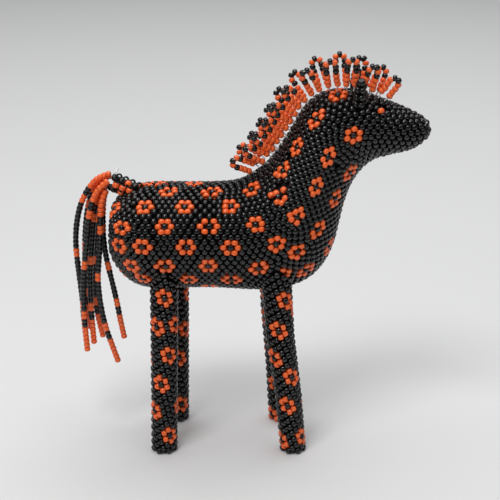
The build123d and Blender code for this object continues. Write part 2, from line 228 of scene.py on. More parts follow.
def outer_grid():
    """The torso's outer surface as rings of points, each starting at the crest and going by the near side."""
    tree = torso_tree()
    keys = np.array(RINGS)
    middles = (keys[:, :2] + keys[:, 2:]) / 2
    lengths = np.concatenate([[0], np.cumsum(np.hypot(*np.diff(middles, axis=0).T))])
    wanted = np.linspace(0, lengths[-1], RING_STEPS)
    rings = np.column_stack([np.interp(wanted, lengths, keys[:, k]) for k in range(4)])
    kernel = np.array([1, 2, 3, 2, 1]) / 9
    padded = np.vstack([rings[:1]] * 2 + [rings] + [rings[-1:]] * 2)
    rings[2:-2] = np.column_stack([np.convolve(padded[:, k], kernel, "valid") for k in range(4)])[2:-2]
    grid = np.zeros((RING_STEPS, AROUND, 3))
    for i, (crest_x, crest_z, under_x, under_z) in enumerate(rings):
        up = unit([crest_x - under_x, 0, crest_z - under_z])
        middle = np.array([(crest_x + under_x) / 2, 0, (crest_z + under_z) / 2])
        for k in range(AROUND):
            turn = 2 * pi * k / AROUND
            direction = up * cos(turn) + np.array([0, -1, 0]) * sin(turn)
            hit = farthest_hit(tree, middle, direction)
            grid[i, k] = np.nan if hit is None else hit
        missed = np.isnan(grid[i, :, 0])
        for axis in range(3):
            grid[i, missed, axis] = np.interp(
                np.nonzero(missed)[0], np.nonzero(~missed)[0], grid[i, ~missed, axis]
            )
    return grid


grid = outer_grid()
along_grid = unit(np.gradient(grid, axis=0))
around_grid = unit(np.roll(grid, -1, axis=1) - np.roll(grid, 1, axis=1))
normal_grid = unit(np.cross(around_grid, along_grid))
if np.sum(normal_grid[RING_STEPS // 3, 0] * [0, 0, 1]) < 0:
    normal_grid = -normal_grid
net_grid = grid - normal_grid * HALF_BEAD


def grid_faces():
    """Quads between neighbouring points of the grid."""
    return [
        (
            i * AROUND + k, i * AROUND + (k + 1) % AROUND,
            (i + 1) * AROUND + (k + 1) % AROUND, (i + 1) * AROUND + k,
        )
        for i in range(RING_STEPS - 1)
        for k in range(AROUND)
    ] + [tuple(range(AROUND)), tuple(range((RING_STEPS - 1) * AROUND, RING_STEPS * AROUND))]


net_tree = BVHTree.FromPolygons([Vector(p) for p in net_grid.reshape(-1, 3)], grid_faces())
outer_tree = BVHTree.FromPolygons([Vector(p) for p in grid.reshape(-1, 3)], grid_faces())


def ring_distances():
    """Distance round each ring from its crest, and each ring's girth."""
    closed = np.concatenate([net_grid, net_grid[:, :1]], axis=1)
    steps = np.linalg.norm(np.diff(closed, axis=1), axis=2)
    distance = np.concatenate([np.zeros((RING_STEPS, 1)), np.cumsum(steps, axis=1)], axis=1)
    return closed, distance, distance[:, -1]


def column_stations(distance, girth):
    """Where each column crosses each ring: evenly round the barrel, a fixed spacing from the flank beyond."""
    shares = (np.arange(BODY_COLUMNS) + COLUMN_PHASE) / BODY_COLUMNS
    stations = girth[:, None] * shares[None]
    flank_x = net_grid[:, AROUND // 4, 0]
    rear = int(np.argmin(np.abs(flank_x[:RING_STEPS // 2] - FROZEN[0])))
    front = int(np.argmin(np.abs(flank_x[:RING_STEPS // 2] - FROZEN[1])))
    index = np.arange(AROUND + 1)
    for border, rings in ((rear, range(rear)), (front, range(front + 1, RING_STEPS))):
        for quarter, chosen in ((0.25, shares < 0.5), (0.75, shares >= 0.5)):
            flank = np.interp(quarter * girth[border], distance[border], index)
            for i in rings:
                middle = np.interp(flank, index, distance[i])
                stations[i, chosen] = middle + (shares[chosen] - quarter) * girth[border]
    return stations, rear, front


def crest_skew(share):
    """How far forward the rows stand near the crest, where the net is pulled toward the mane."""
    degrees_round = (share * 360 + 180) % 360 - 180
    return SKEW * np.exp(-((degrees_round - SKEW_MIDDLE) / SKEW_WIDTH) ** 2)


def net_columns():
    """Each column of the net as a curve with its share of the girth and its distance from the start ring."""
    closed, distance, girth = ring_distances()
    stations, rear, front = column_stations(distance, girth)
    pitch = girth[front] / BODY_COLUMNS
    seam = distance[:, AROUND // 2]
    columns = []
    for c in range(BODY_COLUMNS):
        at = stations[:, c]
        if c < BODY_COLUMNS // 2:
            unbroken = (at > SEAM_NEAR * pitch) & (at < seam - SEAM_FAR * pitch)
        else:
            unbroken = (at > seam + SEAM_NEAR * pitch) & (at < girth - SEAM_FAR * pitch)
        unbroken[rear:front + 1] = True
        first = rear
        while first > 0 and unbroken[first - 1]:
            first -= 1
        last = front
        while last < RING_STEPS - 1 and unbroken[last + 1]:
            last += 1
        curve = np.array([
            [np.interp(at[i], distance[i], closed[i, :, axis]) for axis in range(3)]
            for i in range(first, last + 1)
        ])
        s = np.concatenate([[0], np.cumsum(np.linalg.norm(np.diff(curve, axis=0), axis=1))])
        barrel = slice(max(rear - first - BARREL_MARGIN, 0), front - first + BARREL_MARGIN)
        s -= np.interp(FLOWER_X, curve[barrel, 0], s[barrel])
        columns.append((curve, s, (c + COLUMN_PHASE) / BODY_COLUMNS))
    return columns


def spaced(wanted, low, high):
    """Stations kept about one bead apart: crowded ones dropped, wide gaps filled, the ends filled out."""
    kept = []
    for at in wanted:
        if low <= at <= high and (not kept or at - kept[-1] > DROP_GAP * ROW_PITCH):
            if kept and at - kept[-1] > FILL_GAP * ROW_PITCH:
                extra = round((at - kept[-1]) / ROW_PITCH)
                kept += list(np.linspace(kept[-1], at, extra + 1)[1:-1])
            kept.append(at)
    while kept[0] - ROW_PITCH > low:
        kept.insert(0, kept[0] - ROW_PITCH)
    while kept[-1] + ROW_PITCH < high:
        kept.append(kept[-1] + ROW_PITCH)
    return kept


def net_start():
    """Beads along each column, each sitting between two of the column before, worked out from the flanks."""
    columns = net_columns()
    half = BODY_COLUMNS // 2
    placed = {}
    for flank in (BODY_COLUMNS // 4, 3 * BODY_COLUMNS // 4):
        curve, s, share = columns[flank]
        phase = 0.5 * ((flank + 1) % 2) * ROW_PITCH
        rows = np.arange(np.ceil((s[0] - phase) / ROW_PITCH), np.floor((s[-1] - phase) / ROW_PITCH) + 1)
        placed[flank] = list(rows * ROW_PITCH + phase)
        for step in (1, -1):
            for c in range(flank + step, flank + step * (half // 2 + 1), step):
                if not flank - half // 2 <= c < flank + half // 2:
                    continue
                before, before_s, before_share = columns[c - step]
                curve, s, share = columns[c]
                done = placed[c - step]
                middles = (np.array(done[1:]) + np.array(done[:-1])) / 2
                spots = np.column_stack([np.interp(middles, before_s, before[:, k]) for k in range(3)])
                far = np.linalg.norm(curve[None] - spots[:, None], axis=2)
                nearest = s[np.argmin(far, axis=1)][far.min(axis=1) < 3 * COLUMN_PITCH]
                nearest = nearest + crest_skew(share) - crest_skew(before_share)
                placed[c] = spaced(np.sort(nearest), s[0], s[-1])
    places = []
    for c in sorted(placed):
        curve, s, share = columns[c]
        places += [[np.interp(at, s, curve[:, axis]) for axis in range(3)] for at in placed[c]]
    return np.array(places)


def on_net(places):
    """Each place moved to the nearest point of the net, with its outward, along and across directions."""
    landed = np.zeros_like(places)
    out = np.zeros_like(places)
    along = np.zeros_like(places)
    for n, place in enumerate(places):
        spot, normal, face, gap = net_tree.find_nearest(Vector(place))
        landed[n] = spot
        i, k = divmod(min(face, (RING_STEPS - 1) * AROUND - 1), AROUND)
        out[n] = normal_grid[i, k]
        along[n] = along_grid[i, k]
        if face >= (RING_STEPS - 1) * AROUND:
            out[n] = (-1, 0, 0) if spot.x < 0 else (1, 0, 0)
            along[n] = (0, 0.2, 1)
    across = unit(np.cross(out, along))
    along = unit(np.cross(across, out))
    return landed, out, along, across


def relax(places, rounds):
    """Beads in the shaped ends push each other apart until the net is even; the barrel stays as it is."""
    free = (places[:, 0] < FROZEN[0]) | (places[:, 0] > FROZEN[1])
    for turn in range(rounds):
        places, out, along, across = on_net(places)
        moved = np.zeros_like(places)
        for n in np.nonzero(free)[0]:
            gap = places - places[n]
            near = np.nonzero(np.abs(gap).max(axis=1) < PUSH_REACH)[0]
            near = near[near != n]
            gap = gap[near]
            u = gap @ along[n] / ROW_PITCH
            v = gap @ across[n] / (COLUMN_PITCH / HEX_RATIO)
            far = np.hypot(u, v) + 1e-6
            push = np.clip(PUSH_FROM - far, 0, 1)
            force_u = -(u / far * push).sum() * PUSH_SHARE * ROW_PITCH
            force_v = -(v / far * push).sum() * PUSH_SHARE * COLUMN_PITCH
            moved[n] = (
                along[n] * np.clip(force_u, -PUSH_LIMIT, PUSH_LIMIT)
                + across[n] * np.clip(force_v, -PUSH_LIMIT, PUSH_LIMIT)
            )
        places = places + moved * (EARLY_GAIN if turn < rounds * EARLY_ROUNDS else LATE_GAIN)
    return places


def thin_out(places, closest):
    """Drops any bead that still sits inside another."""
    places, out, along, across = on_net(places)
    keep = np.ones(len(places), bool)
    for n in range(len(places)):
        gap = places[:n][keep[:n]] - places[n]
        if len(gap) == 0:
            continue
        u = gap @ along[n] / ROW_PITCH
        v = gap @ across[n] / (COLUMN_PITCH / HEX_RATIO)
        w = gap @ out[n]
        close = (np.hypot(u, v) < closest) & (np.abs(w) < SAME_LAYER)
        keep[n] = not close.any()
    return places[keep]


torso_places = relax(net_start(), RELAX_ROUNDS)
torso_places = thin_out(torso_places, CLOSEST)
torso_places, torso_out, torso_along, torso_across = on_net(torso_places)
print("torso beads", len(torso_places))


# ---------------------------------------------------------------- pieces made of beads and thread
FINISHES = {"black": black_glass, "orange": orange_glass, "thread": white_thread}


def mesh_piece(name, chunks, body, replaced):
    """One piece from chunks of (points, quads, finish), riding on a body in place of some CAD nodes."""
    used = sorted({finish for points, quads, finish in chunks})
    start = 0
    all_points = []
    all_quads = []
    marks = []
    for points, quads, finish in chunks:
        all_points.append(points)
        all_quads.append(quads + start)
        marks.append(np.full(len(quads), used.index(finish)))
        start += len(points)
    quads = np.concatenate(all_quads)
    mesh = bpy.data.meshes.new(name)
    mesh.vertices.add(start)
    mesh.vertices.foreach_set("co", (np.concatenate(all_points) * MM).ravel())
    mesh.loops.add(quads.size)
    mesh.loops.foreach_set("vertex_index", quads.ravel())
    mesh.polygons.add(len(quads))
    mesh.polygons.foreach_set("loop_start", np.arange(0, quads.size, 4))
    mesh.polygons.foreach_set("material_index", np.concatenate(marks))
    mesh.polygons.foreach_set("use_smooth", np.ones(len(quads), bool))
    mesh.update(calc_edges=True)
    mesh.validate()
    for finish in used:
        mesh.materials.append(FINISHES[finish])
    piece = bpy.data.objects.new(name, mesh)
    bpy.context.scene.collection.objects.link(piece)
    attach(piece, body)
    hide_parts(*replaced)
    return piece


def bead_geometry(places, holes, outward, scale=(1, 1)):
    """Points and quads of separate beads: where each is, which way its hole runs, which way faces out."""
    count = len(places)
    holes = unit(unit(holes) + chance.normal(0, 0.045, (count, 3)))
    side = unit(np.cross(np.broadcast_to(outward, holes.shape), holes))
    front = np.cross(holes, side)
    sizes = np.asarray(scale) * (1 + chance.normal(0, 0.02, (count, 2)))
    spin = chance.uniform(0, 2 * pi, count)[:, None]
    first = side * np.cos(spin) + front * np.sin(spin)
    second = np.cross(holes, first)
    across = sizes[:, 0, None]
    along = sizes[:, 1, None]
    points = (
        places[:, None, :]
        + BEAD_POINTS[None, :, 0, None] * (first * across)[:, None, :]
        + BEAD_POINTS[None, :, 1, None] * (second * across)[:, None, :]
        + BEAD_POINTS[None, :, 2, None] * (holes * along)[:, None, :]
    )
    quads = BEAD_FACES[None] + (np.arange(count) * len(BEAD_POINTS))[:, None, None]
    return points.reshape(-1, 3), quads.reshape(-1, 4)


def bead_chunks(places, holes, outward, orange, scale=(1, 1)):
    """Beads in their two colours, as chunks for mesh_piece."""
    outward = np.broadcast_to(outward, places.shape)
    chunks = []
    for finish, chosen in (("black", ~orange), ("orange", orange)):
        if chosen.any():
            chunks.append((*bead_geometry(places[chosen], holes[chosen], outward[chosen], scale), finish))
    return chunks


def thread_chunk(line, radius=0.14, sides=6):
    """A fine round thread along a line."""
    line = np.asarray(line, float)
    run = unit(np.gradient(line, axis=0))
    side = unit(np.cross(run, [0.31, 0.9, 0.12]))
    other = np.cross(run, side)
    turns = 2 * pi * np.arange(sides) / sides
    rings = (
        line[:, None, :]
        + side[:, None, :] * (radius * np.cos(turns))[None, :, None]
        + other[:, None, :] * (radius * np.sin(turns))[None, :, None]
    )
    quads = [
        (i * sides + k, i * sides + (k + 1) % sides, (i + 1) * sides + (k + 1) % sides, (i + 1) * sides + k)
        for i in range(len(line) - 1)
        for k in range(sides)
    ]
    return rings.reshape(-1, 3), np.array(quads), "thread"


def along_line(line, first, pitch, last):
    """Places and directions at an even pitch along a line."""
    steps = np.linalg.norm(np.diff(line, axis=0), axis=1)
    s = np.concatenate([[0], np.cumsum(steps)])
    at = np.arange(first, s[-1] - last, pitch)
    places = np.column_stack([np.interp(at, s, line[:, k]) for k in range(3)])
    ahead = np.column_stack([np.interp(at + 0.3, s, line[:, k]) for k in range(3)])
    behind = np.column_stack([np.interp(at - 0.3, s, line[:, k]) for k in range(3)])
    return places, unit(ahead - behind)


def petals(places, along, across, centres):
    """Marks the six beads round the bead nearest to each centre."""
    orange = np.zeros(len(places), bool)
    for centre in centres:
        middle = int(np.argmin(np.linalg.norm(places - centre, axis=1)))
        gap = places - places[middle]
        u = gap @ along[middle] / ROW_PITCH
        v = gap @ across[middle] / (COLUMN_PITCH / HEX_RATIO)
        far = np.hypot(u, v) + np.where(np.linalg.norm(gap, axis=1) > PETAL_SEARCH, 99, 0)
        ring = np.argsort(far)[1:7]
        orange[ring[far[ring] < PETAL_REACH]] = True
    return orange


def depth_in_torso(points):
    """How far each point lies inside the torso's outer surface."""
    depth = np.zeros(len(points))
    for n, point in enumerate(points):
        spot, normal, face, gap = outer_tree.find_nearest(Vector(point))
        i, k = divmod(min(face, (RING_STEPS - 1) * AROUND - 1), AROUND)
        depth[n] = np.dot(normal_grid[i, k], np.array(spot) - point)
    return depth


# ---------------------------------------------------------------- legs
LEG_SPREAD = 10.0
LEG_COLUMNS = 14
LEG_ROW = 2.0
LEG_TWIST = radians(4.1)        # the columns wind round the leg by this much in each millimetre down
LEG_TOP_Z = 60.0
LEG_TWIST_FROM = 20.0
LEG_HOLE_RISE = 0.21
LEG_PETAL_REACH = 2.6
LEG_JOIN_TOP_Z = 64.0           # torso beads above this are never cut away for a leg
SOLE_BEADS = 4
SOLE_RING_R = 1.12
FLOOR_GAP = 0.02
LEG_SUNK = 1.0                  # how deep in the torso a leg's bead may sit
LEG_CLEARANCE = 1.3             # from a leg's bead to a torso bead, centre to centre
LEG_MOUTH = 1.4                 # torso beads end this far inside a leg's outside

# Each leg is (name, side, [(x of the centre, height, radius), ...], flowers as (degrees round, height)),
# where degrees run from the leg's near side (-Y) by its front (+X).
LEGS = [
    ("right_hind_leg", -1, [(-30.5, 0, 4.0), (-30.1, 18, 4.0), (-29.7, 37, 4.05), (-29.2, 60.5, 4.2)],
     [(6, 50.4), (-39, 40.7), (74, 41.4), (30, 32.9), (-24, 22.7), (-55, 14.9), (90, 14.5), (23, 5.5),
      (180, 30), (170, 7), (150, 48), (-120, 30)]),
    ("left_hind_leg", 1, [(-28.0, 0, 4.0), (-27.7, 18, 4.0), (-27.4, 37, 4.05), (-27.2, 60.5, 4.2)],
     [(50, 30.7), (31, 21.4), (35, 6.3), (180, 46), (-120, 37), (150, 25), (-150, 17), (170, 6), (-60, 8),
      (90, 42), (-30, 34)]),
    ("right_front_leg", -1, [(7.9, 0, 4.0), (6.3, 18.5, 4.0), (3.7, 37, 4.3), (2.2, 60.5, 4.5)],
     [(36, 49.7), (-8, 40.9), (-47, 30.6), (34, 24.1), (-14, 15.9), (-50, 3.6), (61, 6.1), (150, 33),
      (-140, 42), (-160, 12), (120, 16), (100, 44)]),
    ("left_front_leg", 1, [(4.8, 0, 4.0), (3.8, 18.5, 4.0), (2.4, 37, 4.2), (1.4, 60.5, 4.4)],
     [(-55, 43.4), (74, 40.9), (-56, 35.5), (20, 27), (-38, 13.1), (-49, 2.4), (70, 17), (180, 42),
      (-120, 26), (150, 22), (-150, 9)]),
]


def leg_axis(rings, height):
    """Centre x and radius of a leg at a height."""
    xs, heights, radii = zip(*rings)
    return np.interp(height, heights, xs), np.interp(height, heights, radii)


def leg_beads(side, rings):
    """Beads of one leg: places, holes and outward directions, sole beads last."""
    places = []
    holes = []
    outs = []
    for column in range(LEG_COLUMNS):
        for row in range(int(LEG_TOP_Z / LEG_ROW)):
            height = HALF_BEAD + FLOOR_GAP + (row + 0.5 * (column % 2)) * LEG_ROW
            centre, radius = leg_axis(rings, height)
            turn = 2 * pi * column / LEG_COLUMNS - LEG_TWIST * (height - LEG_TWIST_FROM)
            out = np.array([sin(turn), -cos(turn), 0])
            middle = np.array([centre, side * LEG_SPREAD, height])
            places.append(middle + out * (radius - HALF_BEAD))
            holes.append([cos(turn), sin(turn), LEG_HOLE_RISE])
            outs.append(out)
    places = np.array(places)
    keep = depth_in_torso(places) < LEG_SUNK
    gaps = np.linalg.norm(places[:, None] - kept_torso[None], axis=2).min(axis=1)
    keep &= gaps > LEG_CLEARANCE
    return places[keep], np.array(holes)[keep], np.array(outs)[keep]


def sole_beads(side, rings):
    """The few beads that close a leg's end."""
    centre, radius = leg_axis(rings, 0)
    turns = 2 * pi * np.arange(SOLE_BEADS) / SOLE_BEADS + 0.5
    outs = np.column_stack([np.sin(turns), -np.cos(turns), np.zeros(SOLE_BEADS)])
    holes = np.column_stack([np.cos(turns), np.sin(turns), np.zeros(SOLE_BEADS)])
    places = np.array([centre, side * LEG_SPREAD, HALF_BEAD + FLOOR_GAP]) + outs * SOLE_RING_R
    return places, holes, outs


in_leg = np.zeros(len(torso_places), bool)
for name, side, rings, flowers in LEGS:
    centres, radii = leg_axis(rings, torso_places[:, 2])
    reach = np.hypot(torso_places[:, 0] - centres, torso_places[:, 1] - side * LEG_SPREAD)
    in_leg |= (reach < radii - LEG_MOUTH) & (torso_places[:, 2] < LEG_JOIN_TOP_Z)
kept_torso = torso_places[~in_leg]
for name, side, rings, flowers in LEGS:
    places, holes, outs = leg_beads(side, rings)
    orange = np.zeros(len(places), bool)
    for degrees_round, height in flowers:
        centre, radius = leg_axis(rings, height)
        turn = radians(degrees_round)
        spot = np.array([centre, side * LEG_SPREAD, height]) + radius * np.array([sin(turn), -cos(turn), 0])
        middle = int(np.argmin(np.linalg.norm(places - spot, axis=1)))
        far = np.linalg.norm(places - places[middle], axis=1)
        ring = np.argsort(far)[1:7]
        orange[ring[far[ring] < LEG_PETAL_REACH]] = True
    sole_places, sole_holes, sole_outs = sole_beads(side, rings)
    black_places = np.concatenate([places[~orange], sole_places])
    black_holes = np.concatenate([holes[~orange], sole_holes])
    black_outs = np.concatenate([outs[~orange], sole_outs])
    geometry = bead_geometry(black_places, black_holes, black_outs)
    mesh_piece(f"{name}_black_beads", [(*geometry, "black")], "horse", [f"{name}_beadwork", f"{name}_sole"])
    geometry = bead_geometry(places[orange], holes[orange], outs[orange])
    mesh_piece(f"{name}_flower_beads", [(*geometry, "orange")], "horse", [f"{name}_beadwork"])


# ---------------------------------------------------------------- tail dock
DOCK_ROOT = np.array([-37.1, 0, 77.2])
DOCK_TIP = np.array([-43.7, 0, 80.2])
DOCK_R = 3.0
DOCK_COLUMNS = 7
DOCK_MOUTH = 0.4                # torso beads end this far inside the dock's outside
DOCK_FRONT_X = -33.0            # torso beads ahead of this stay under the dock
DOCK_BEAD_TIP = DOCK_TIP + unit(DOCK_TIP - DOCK_ROOT) * 0.7


def tube_beads(root, tip, radius_at, columns, row, first, facing):
    """A small tube of beads round a straight axis, its columns starting from the facing direction."""
    run = unit(tip - root)
    start = unit(facing - run * np.dot(facing, run))
    other = np.cross(run, start)
    length = np.linalg.norm(tip - root)
    places, holes, outs = [], [], []
    for column in range(columns):
        turn = 2 * pi * column / columns
        out = start * cos(turn) + other * sin(turn)
        for k in range(int((length - first) / row) + 1):
            reach = first + (k + 0.5 * (column % 2)) * row
            if reach > length:
                continue
            places.append(root + run * reach + out * (radius_at(reach / length) - HALF_BEAD))
            holes.append(np.cross(run, out))
            outs.append(out)
    return np.array(places), np.array(holes), np.array(outs)


dock_places, dock_holes, dock_outs = tube_beads(
    DOCK_ROOT, DOCK_BEAD_TIP, lambda share: DOCK_R, DOCK_COLUMNS, ROW_PITCH, 0.2, np.array([0, -1.0, 0])
)
showing = depth_in_torso(dock_places) < 0.9
dock_places, dock_holes, dock_outs = dock_places[showing], dock_holes[showing], dock_outs[showing]
dock_flower = DOCK_ROOT + np.array([-3.6, -DOCK_R, 1.4])
near_flower = np.argsort(np.linalg.norm(dock_places - dock_flower, axis=1))
dock_orange = np.zeros(len(dock_places), bool)
dock_orange[near_flower[:5]] = True
mesh_piece("tail_dock_beads", bead_chunks(dock_places, dock_holes, dock_outs, dock_orange), "horse",
           ["tail_dock_beadwork"])


# ---------------------------------------------------------------- ears
EAR_ROOT = np.array([24.8, 5.6, 102.0])
EAR_TIP = np.array([25.2, 7.3, 110.8])
EAR_ROOT_R = 2.3
EAR_SHOULDER_R = 2.0
EAR_TIP_R = 1.0
EAR_MOUTH_R = 1.3               # no torso beads this near an ear's axis, above this height
EAR_MOUTH_Z = 95.0
EYE_MOUTH_R = 1.25


def ear_radius(share):
    """The ear's radius at a share of its length."""
    return np.interp(share, [0, 0.7, 1], [EAR_ROOT_R, EAR_SHOULDER_R, EAR_TIP_R + 0.3])


for name, side in (("right_ear", -1), ("left_ear", 1)):
    flip = np.array([1, side, 1])
    places, holes, outs = tube_beads(
        EAR_ROOT * flip, EAR_TIP * flip, ear_radius, 5, ROW_PITCH, 0.3, np.array([0.3, side, 0])
    )
    showing = depth_in_torso(places) < 0.7
    tip_bead = (EAR_TIP - unit(EAR_TIP - EAR_ROOT) * 0.6) * flip
    places = np.vstack([places[showing], tip_bead])
    holes = np.vstack([holes[showing], [1, 0, 0.1]])
    outs = np.vstack([outs[showing], [0, 0, 1]])
    geometry = bead_geometry(places, holes, outs)
    mesh_piece(f"{name}_beads", [(*geometry, "black")], "horse", [name])


# ---------------------------------------------------------------- eyes
eye_places = []
for name, side in (("right_eye_bead", -1), ("left_eye_bead", 1)):
    low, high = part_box(name)
    middle = (np.array(low) + np.array(high)) / 2 / MM
    eye_places.append(middle)
    hole = np.array([[0, 0.5 * side, -1.0]])
    geometry = bead_geometry(middle[None], hole, np.array([[0, side, 0.4]]))
    mesh_piece(f"{name}_glass", [(*geometry, "orange")], "horse", [name])


# ---------------------------------------------------------------- torso nets
NECK_PLANE = (np.array([8.25, 0, 72.2]), unit([24.8, 0, 20.1]))
HEAD_PLANE = (np.array([22.3, 0, 96.55]), unit([18.9, 0, 15.6]))
REAR_X = -17.0

# Flowers on the rump, chest, neck and head: x, y, z, each also put on the other side.
SHAPED_FLOWERS = [
    (-4.1, -6.8, 80.9), (2.0, -12.1, 79.2), (4.0, -8.7, 85.9), (7.0, -7.0, 92.3), (-4.1, -13.9, 72.0),
    (2.5, -15.4, 67.4), (8.6, -14.5, 75.2), (13.0, -12.1, 82.7), (15.6, -11.3, 90.7), (14.6, -12.6, 70.0),
    (19.1, -8.9, 77.9), (8.9, -14.3, 63.3), (-3.2, -14.6, 59.5), (3.5, -12.4, 55.8), (11.6, -10.0, 56.7),
    (17.6, -6.6, 62.0), (12.8, -7.5, 100.1), (18.6, -3.8, 106.3), (23.0, -9.9, 97.0), (22.9, -8.2, 85.6),
    (22.0, 0.0, 73.0), (13.5, 0.0, 53.0), (-37.7, -13.2, 59.0), (-42.7, -10.8, 65.0), (-43.3, -4.8, 74.0),
    (-40.4, -11.6, 70.5), (-45.8, 0.0, 66.0), (-42.5, -4.5, 54.5),
]


def body_flowers():
    """Flower centres of the even lattice on the barrel."""
    columns = net_columns()
    centres = []
    for m in range(BODY_COLUMNS // 4):
        curve, s, share = columns[(4 * m - 1) % BODY_COLUMNS]
        for n in range(-3, 3):
            reach = ROW_PITCH * (6 * n + 3 * ((m + 1) % 2)) + crest_skew(share)
            place = [np.interp(reach, s, curve[:, k]) for k in range(3)]
            if FLOWER_LIMITS[0] < place[0] < FLOWER_LIMITS[1]:
                centres.append(place)
    return centres


def shaped_flowers():
    """Flower centres of the shaped parts, on both sides."""
    centres = []
    for x, y, z in SHAPED_FLOWERS:
        centres.append((x, y, z))
        if y != 0:
            centres.append((x, -y, z))
    return centres


from_dock = np.linalg.norm(np.cross(torso_places - DOCK_ROOT, unit(DOCK_TIP - DOCK_ROOT)), axis=1)
taken = in_leg | ((from_dock < DOCK_R - DOCK_MOUTH) & (torso_places[:, 0] <= DOCK_FRONT_X))
for side in (-1, 1):
    flip = np.array([1, side, 1])
    root, run = EAR_ROOT * flip, unit((EAR_TIP - EAR_ROOT) * flip)
    from_ear = np.linalg.norm(np.cross(torso_places - root, run), axis=1)
    taken |= (from_ear < EAR_MOUTH_R) & (torso_places[:, 2] > EAR_MOUTH_Z)
for middle in eye_places:
    taken |= np.linalg.norm(torso_places - middle, axis=1) < EYE_MOUTH_R
flower_centres = body_flowers() + shaped_flowers()
torso_orange = petals(torso_places, torso_along, torso_across, np.array(flower_centres))
keep = ~taken
torso_places, torso_out = torso_places[keep], torso_out[keep]
torso_across, torso_orange = torso_across[keep], torso_orange[keep]
past_neck = (torso_places - NECK_PLANE[0]) @ NECK_PLANE[1] > 0
past_head = (torso_places - HEAD_PLANE[0]) @ HEAD_PLANE[1] > 0
regions = [
    ("body_rear", "body_beadwork", ~past_neck & (torso_places[:, 0] < REAR_X)),
    ("body_front", "body_beadwork", ~past_neck & (torso_places[:, 0] >= REAR_X)),
    ("neck", "neck_beadwork", past_neck & ~past_head),
    ("head", "head_beadwork", past_head),
]
for name, node, here in regions:
    for finish, chosen in (("black", here & ~torso_orange), ("orange", here & torso_orange)):
        if chosen.any():
            geometry = bead_geometry(torso_places[chosen], torso_across[chosen], torso_out[chosen])
            mesh_piece(f"{name}_{finish}_beads", [(*geometry, finish)], "horse", [node])
    print(name, here.sum(), "beads")


# ---------------------------------------------------------------- tail strands
# Route of each strand, x, y, z, from the dock down, as in the CAD source.
TAIL_ROUTES = [
    [(-44.4, 0.0, 82.6), (-47.0, 0.0, 82.0), (-49.4, 0.2, 80.2), (-51.4, 0.5, 77.5), (-53.4, 0.7, 73.7),
     (-54.8, 0.8, 68.5), (-55.5, 0.9, 62.9), (-55.4, 0.9, 57.1), (-54.9, 1.0, 50.7), (-54.4, 1.0, 43.9),
     (-54.3, 0.9, 36.9), (-53.8, 0.8, 30.1)],
    [(-44.9, -2.3, 81.2), (-47.1, -2.7, 79.7), (-49.0, -2.9, 76.9), (-50.5, -3.0, 72.4), (-51.3, -3.0, 67.5),
     (-51.9, -3.0, 62.3), (-52.7, -2.9, 56.5), (-53.4, -2.8, 50.1), (-53.5, -2.8, 42.9), (-53.5, -2.7, 35.8),
     (-53.1, -2.7, 28.8)],
    [(-45.3, -0.4, 80.5), (-47.0, -0.5, 79.0), (-48.5, -0.6, 76.4), (-49.4, -0.8, 72.7), (-50.0, -0.8, 68.1),
     (-50.5, -0.8, 62.9), (-51.1, -0.8, 57.5), (-51.6, -0.8, 51.5), (-51.7, -0.8, 44.7), (-51.7, -0.7, 37.7),
     (-51.3, -0.6, 30.3)],
    [(-45.8, -1.9, 78.3), (-46.8, -2.3, 76.1), (-47.4, -2.7, 73.0), (-47.6, -2.8, 68.5), (-47.9, -2.8, 63.3),
     (-48.5, -2.8, 57.8), (-49.1, -2.8, 52.1), (-48.9, -2.8, 46.6), (-48.3, -2.8, 41.2), (-47.3, -2.8, 36.0),
     (-45.8, -2.7, 30.8), (-44.1, -2.6, 25.2)],
    [(-46.0, 0.6, 77.5), (-46.8, 0.8, 75.2), (-47.2, 1.0, 71.8), (-47.4, 1.0, 67.1), (-47.4, 0.9, 61.9),
     (-46.8, 0.9, 56.7), (-45.9, 0.9, 51.9), (-44.9, 0.9, 46.8), (-44.0, 0.8, 41.6), (-43.3, 0.8, 36.4),
     (-42.4, 0.8, 31.4)],
    [(-45.5, 2.2, 79.1), (-47.0, 2.7, 77.4), (-48.1, 3.1, 74.7), (-48.9, 3.4, 70.8), (-49.5, 3.6, 65.5),
     (-50.0, 3.6, 59.8), (-50.6, 3.5, 53.7), (-50.9, 3.3, 47.4), (-50.8, 3.2, 41.4), (-50.1, 3.1, 36.0),
     (-49.0, 3.0, 30.8)],
    [(-44.7, 1.8, 81.5), (-47.0, 2.1, 80.6), (-49.0, 2.4, 78.9), (-50.6, 2.7, 75.9), (-51.8, 2.9, 71.6),
     (-52.7, 3.0, 66.1), (-53.2, 3.1, 60.2), (-53.3, 3.1, 53.7), (-53.1, 3.1, 47.0), (-52.9, 3.0, 40.2),
     (-52.6, 3.0, 33.5)],
]
STRAND_COLOURS = "OOOOOOBBOOBBBBBBBBBBBOOBBBBBBBBBBBOOBBOOOOOO"


def smooth_line(route):
    """Points along a smooth curve through the route."""
    curve = bpy.data.curves.new("route", "CURVE")
    curve.dimensions = "3D"
    spline = curve.splines.new("NURBS")
    spline.points.add(len(route) - 1)
    for point, place in zip(spline.points, route):
        point.co = (*place, 1)
    spline.order_u = 3
    spline.use_endpoint_u = True
    curve.resolution_u = 10
    holder = bpy.data.objects.new("route", curve)
    mesh = bpy.data.meshes.new_from_object(holder)
    line = np.array([v.co for v in mesh.vertices], float)
    bpy.data.objects.remove(holder)
    bpy.data.meshes.remove(mesh)
    bpy.data.curves.remove(curve)
    return line


